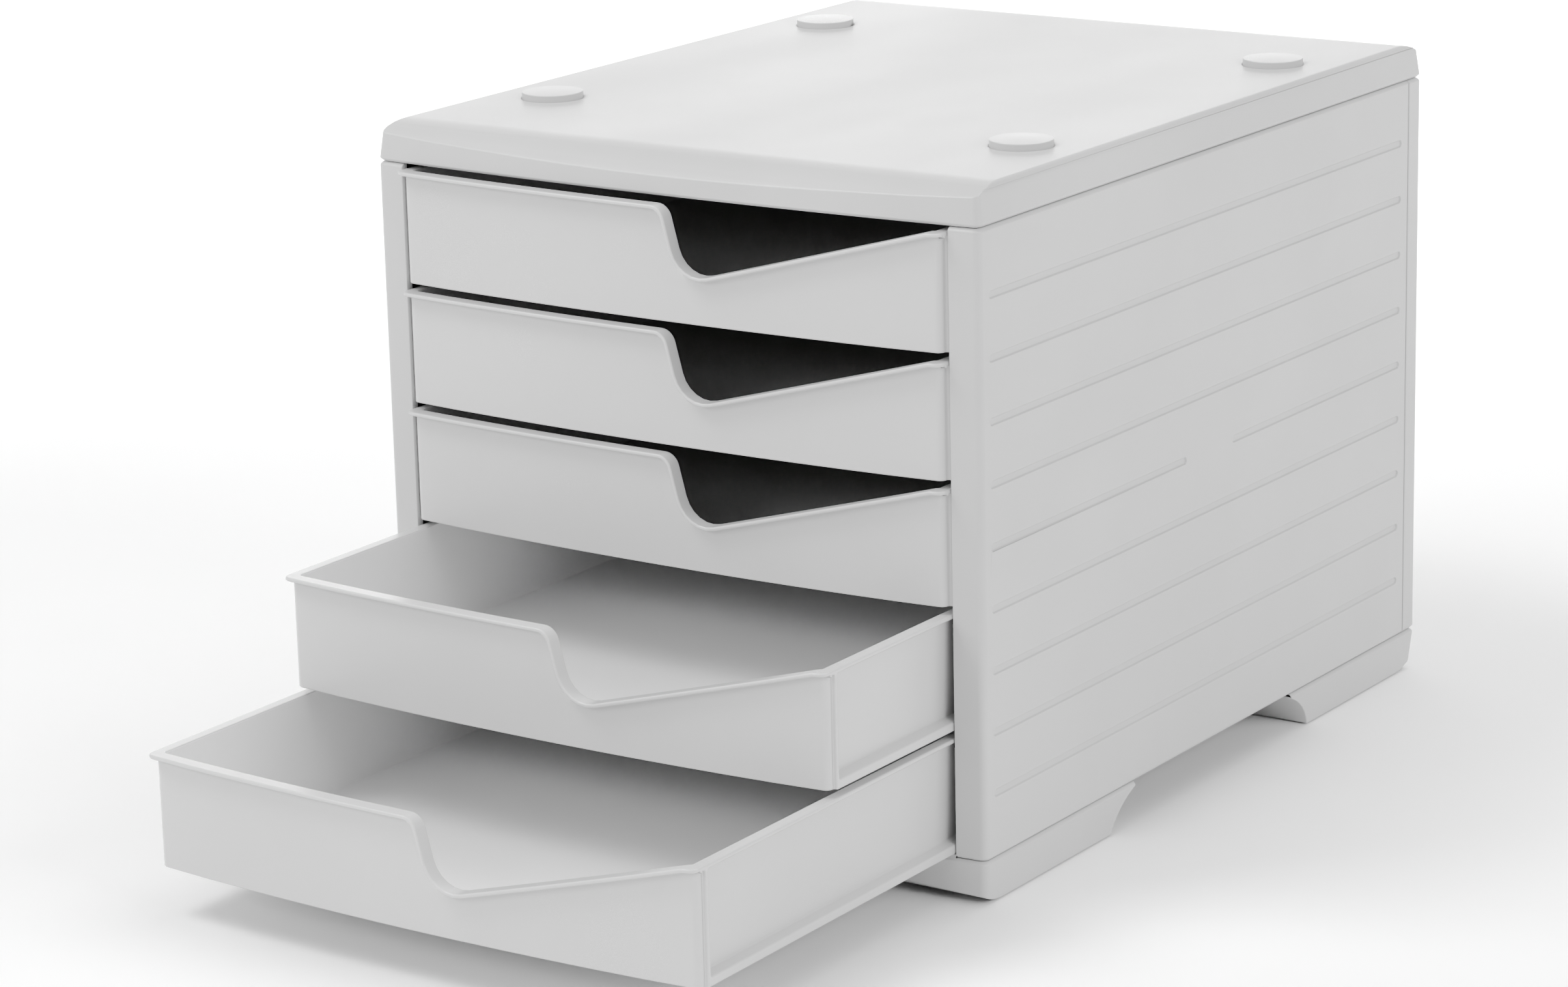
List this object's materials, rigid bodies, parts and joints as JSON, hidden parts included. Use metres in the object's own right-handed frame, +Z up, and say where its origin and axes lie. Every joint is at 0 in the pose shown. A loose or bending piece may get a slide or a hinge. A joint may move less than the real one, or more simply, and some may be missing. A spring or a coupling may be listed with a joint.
{
  "type": "desktop file drawer box",
  "caption": "Desktop box of stacked sheet-size drawers with scooped, bowed fronts in a footed plastic casing with stacking buttons on its cover.",
  "frame": {"origin": "centre of the footprint at rest, on the surface that the box stands on", "axes": "+X to the right seen from the front, +Y to the rear, so the drawers open towards -Y, +Z up"},
  "size_m": [0.285, 0.5376, 0.2846],
  "materials": {
    "casing": "light grey moulded plastic, fine satin",
    "drawer": "light grey moulded plastic, smooth satin",
    "runner": "near black plastic",
    "button": "light grey, glossy",
    "pad": "grey soft rubber",
    "screw": "plain steel"
  },
  "bodies": {
    "casing": {"base": "casing", "side_wall_left": "casing", "side_wall_right": "casing", "back_panel": "casing", "top_cover": "casing", "runner_panel_left": "runner", "runner_panel_right": "runner", "stacking_button_front_left": "button", "stacking_button_front_right": "button", "stacking_button_rear_left": "button", "stacking_button_rear_right": "button", "foot_pad_front_left": "pad", "foot_pad_front_right": "pad", "foot_pad_rear_left": "pad", "foot_pad_rear_right": "pad", "runner_screw_left_front_upper": "screw", "runner_screw_left_front_lower": "screw", "runner_screw_left_rear_upper": "screw", "runner_screw_left_rear_lower": "screw", "runner_screw_right_front_upper": "screw", "runner_screw_right_front_lower": "screw", "runner_screw_right_rear_upper": "screw", "runner_screw_right_rear_lower": "screw"},
    "drawer_1": {"drawer_1": "drawer"},
    "drawer_2": {"drawer_2": "drawer"},
    "drawer_3": {"drawer_3": "drawer"},
    "drawer_4": {"drawer_4": "drawer"},
    "drawer_5": {"drawer_5": "drawer"}
  },
  "joints": [
    {"name": "drawer_1_slide", "type": "slide", "parent": "casing", "child": "drawer_1", "axis": [0, -1, 0], "range_m": [0, 0.24]},
    {"name": "drawer_2_slide", "type": "slide", "parent": "casing", "child": "drawer_2", "axis": [0, -1, 0], "range_m": [0, 0.24]},
    {"name": "drawer_3_slide", "type": "slide", "parent": "casing", "child": "drawer_3", "axis": [0, -1, 0], "range_m": [0, 0.24]},
    {"name": "drawer_4_slide", "type": "slide", "parent": "casing", "child": "drawer_4", "axis": [0, -1, 0], "range_m": [-0.0808, 0.1592]},
    {"name": "drawer_5_slide", "type": "slide", "parent": "casing", "child": "drawer_5", "axis": [0, -1, 0], "range_m": [-0.1651, 0.0749]}
  ]
}
